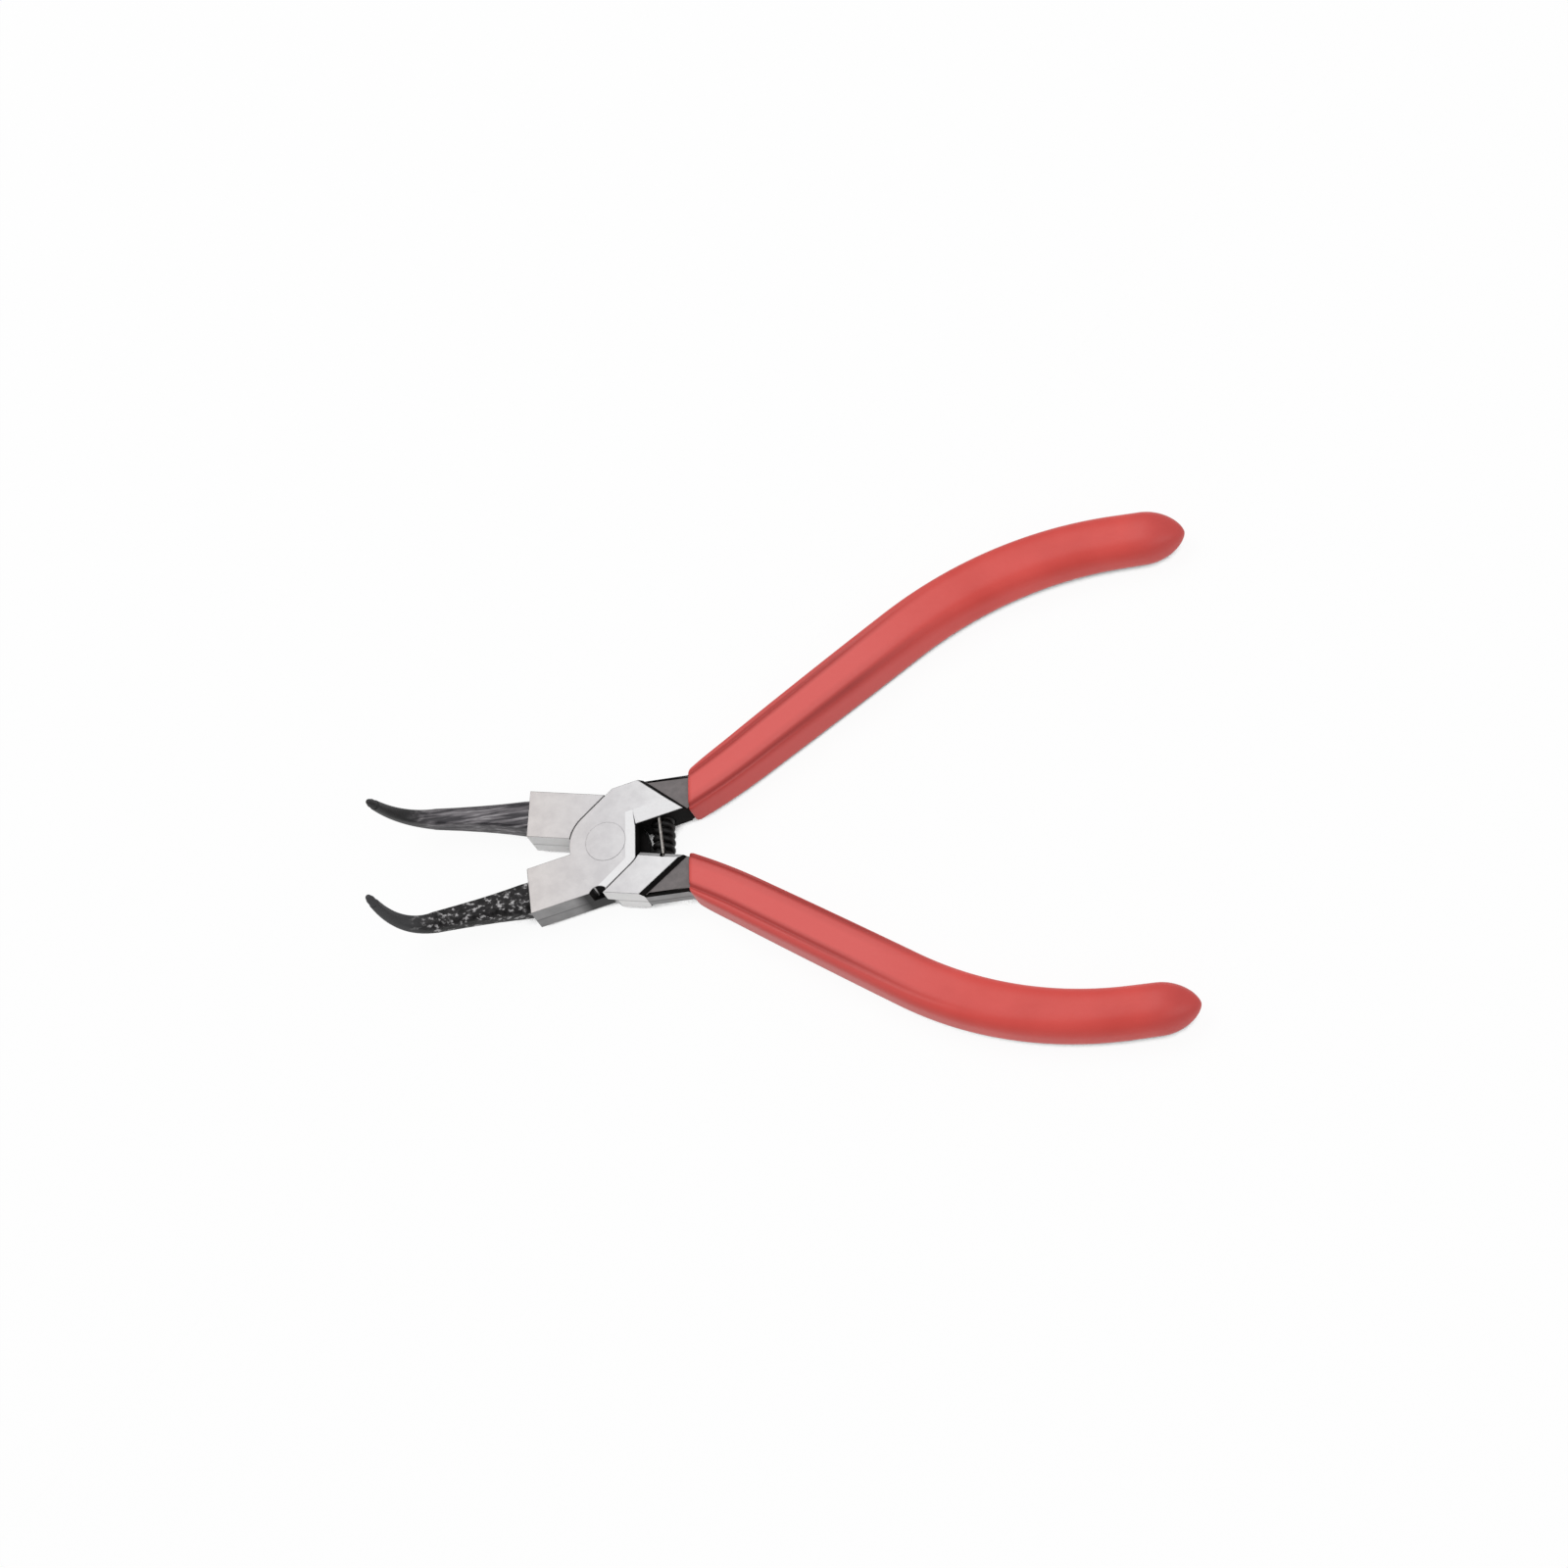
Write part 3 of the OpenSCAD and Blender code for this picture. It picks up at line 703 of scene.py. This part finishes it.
def grip_piece(node, name, body, side):
    """A grip: a round tube of rings, each moved to its place on the skin."""
    bpy.ops.object.select_all(action="DESELECT")
    bpy.ops.mesh.primitive_cylinder_add(
        vertices=GRIP_SIDES, radius=1, depth=2, end_fill_type="NGON", location=(0, 0, 0),
    )
    piece = bpy.context.object
    piece.name = name
    bpy.ops.object.mode_set(mode="EDIT")
    bpy.ops.mesh.select_all(action="DESELECT")
    bm = bmesh.from_edit_mesh(piece.data)
    for edge in bm.edges:
        edge.select_set(abs(edge.verts[0].co.z - edge.verts[1].co.z) > 1)
    bmesh.update_edit_mesh(piece.data)
    bpy.ops.mesh.subdivide(number_cuts=GRIP_CUTS)
    bm = bmesh.from_edit_mesh(piece.data)
    lies = {}
    for vertex in bm.verts:
        run = sleeve_run((vertex.co.z + 1) / 2)
        vertex.co, lies[vertex] = grip_skin(run, math.atan2(vertex.co.y, vertex.co.x))
    uv = bm.loops.layers.uv.verify()
    for face in bm.faces:
        for loop in face.loops:
            loop[uv].uv = lies[loop.vert]
    bmesh.update_edit_mesh(piece.data)
    bpy.ops.mesh.select_all(action="SELECT")
    bpy.ops.mesh.remove_doubles(threshold=GRIP_WELD * MM)
    bpy.ops.mesh.normals_make_consistent(inside=False)
    bpy.ops.object.mode_set(mode="OBJECT")
    piece.data.transform(Matrix.Rotation(HALF_OPEN, 4, "Z"))
    if side < 0:
        piece.data.transform(Matrix.Scale(-1, 4, (0, 1, 0)))
        piece.data.flip_normals()
    bpy.ops.object.shade_smooth_by_angle(angle=GRIP_SMOOTH_TO)
    piece.data.materials.append(VINYL)
    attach(piece, body)
    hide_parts(node)
    return piece


grip_piece("front_grip", "front_grip_sleeve", "front_half", 1)
grip_piece("rear_grip", "rear_grip_sleeve", "rear_half", -1)


# Studio: the tool lies on a white table under large soft lamps, seen by a long lens from the right
# and above, with the camera rolled so that the tool lies level in the picture.
TABLE_SIZE = 6.0
TABLE_GAP = 0.02
TABLE_GLOW = 0.94
CORNER_REACH = 4.0 * MM
WORLD_LIGHT = 0.5
LAMP_SIZE = 0.9
LAMP_AIM = Vector((0.04, 0, 0))
LAMPS = (((-0.32, 0.46, 1.15), 6.5), ((0.9, -0.35, 0.9), 3.6))
CAMERA_AZ = math.radians(31.1)
CAMERA_EL = math.radians(60.0)
CAMERA_ROLL = math.radians(-35.8)
# What one pixel of the photograph covers at the tool. The picture's middle lies right of and above SPOT.
PIXEL = 0.2 * MM
PICTURE_RIGHT = 185 * PIXEL
PICTURE_UP = 67 * PIXEL
CAMERA_AWAY = 10000 * PIXEL
SPOT = Vector((-1.756 * MM, 0, MID_Z))


def white_table():
    """A sheet that looks bright white, also in the steel, with a painted shadow that darkens it only close
    under the tool.
    """
    mat = bpy.data.materials.new("white_table")
    mat.use_nodes = True
    connect_finish(mat, finish_surface(mat), {"Base Color": (0.9, 0.9, 0.9, 1), "Roughness": 0.9})
    # Painted shadow: the table's glow is dimmed where the tool shuts it in.
    corner = finish_step(mat, "AmbientOcclusion", {"Distance": CORNER_REACH}, samples=8)
    shade = finish_step(mat, "MapRange", {
        "Value": corner.outputs["AO"],
        "From Min": 0.24,
        "From Max": 0.36,
    })
    glow = finish_step(mat, "Emission", {"Strength": shade.outputs["Result"]})
    rays = finish_step(mat, "LightPath", {}).outputs
    seen = rays["Is Camera Ray"]
    for ray in ("Is Glossy Ray", "Is Transmission Ray"):
        seen = finish_step(mat, "Math", {0: seen, 1: rays[ray]}, operation="MAXIMUM").outputs["Value"]
    share = finish_step(mat, "Math", {0: seen, 1: TABLE_GLOW}, operation="MULTIPLY")
    mix = finish_step(mat, "MixShader", {
        "Fac": share.outputs["Value"],
        1: finish_surface(mat).outputs["BSDF"],
        2: glow.outputs["Emission"],
    })
    connect_finish(mat, mat.node_tree.nodes["Material Output"], {"Surface": mix.outputs["Shader"]})
    return mat


bpy.ops.object.select_all(action="DESELECT")
bpy.ops.mesh.primitive_plane_add(size=TABLE_SIZE, location=(0, 0, MID_Z - (GRIP_HALF_T + TABLE_GAP) * MM))
table = bpy.context.object
table.name = "table"
table.data.materials.append(white_table())

world = bpy.data.worlds.new("studio")
bpy.context.scene.world = world
world.use_nodes = True
world.node_tree.nodes["Background"].inputs["Color"].default_value = (1, 1, 1, 1)
world.node_tree.nodes["Background"].inputs["Strength"].default_value = WORLD_LIGHT

for place, power in LAMPS:
    bpy.ops.object.light_add(type="AREA", location=place)
    lamp = bpy.context.object
    lamp.data.size = LAMP_SIZE
    lamp.data.energy = power
    lamp.rotation_euler = (LAMP_AIM - Vector(place)).to_track_quat("-Z", "Y").to_euler()

right = Vector((math.cos(CAMERA_AZ), math.sin(CAMERA_AZ), 0))
level_back = Vector((math.sin(CAMERA_AZ), -math.cos(CAMERA_AZ), 0))
back = math.cos(CAMERA_EL) * level_back + math.sin(CAMERA_EL) * Vector((0, 0, 1))
up = back.cross(right)
picture_x = math.cos(CAMERA_ROLL) * right + math.sin(CAMERA_ROLL) * up
picture_y = -math.sin(CAMERA_ROLL) * right + math.cos(CAMERA_ROLL) * up
cam_data = bpy.data.cameras.new("camera")
cam_data.lens = 225
cam_data.sensor_width = 36
cam_data.clip_end = 20
cam = bpy.data.objects.new("camera", cam_data)
bpy.context.scene.collection.objects.link(cam)
turn = Matrix((picture_x, picture_y, back)).transposed().to_4x4()
turn.translation = SPOT + PICTURE_RIGHT * picture_x + PICTURE_UP * picture_y + CAMERA_AWAY * back
cam.matrix_world = turn
bpy.context.scene.camera = cam
bpy.context.scene.view_settings.view_transform = "Standard"
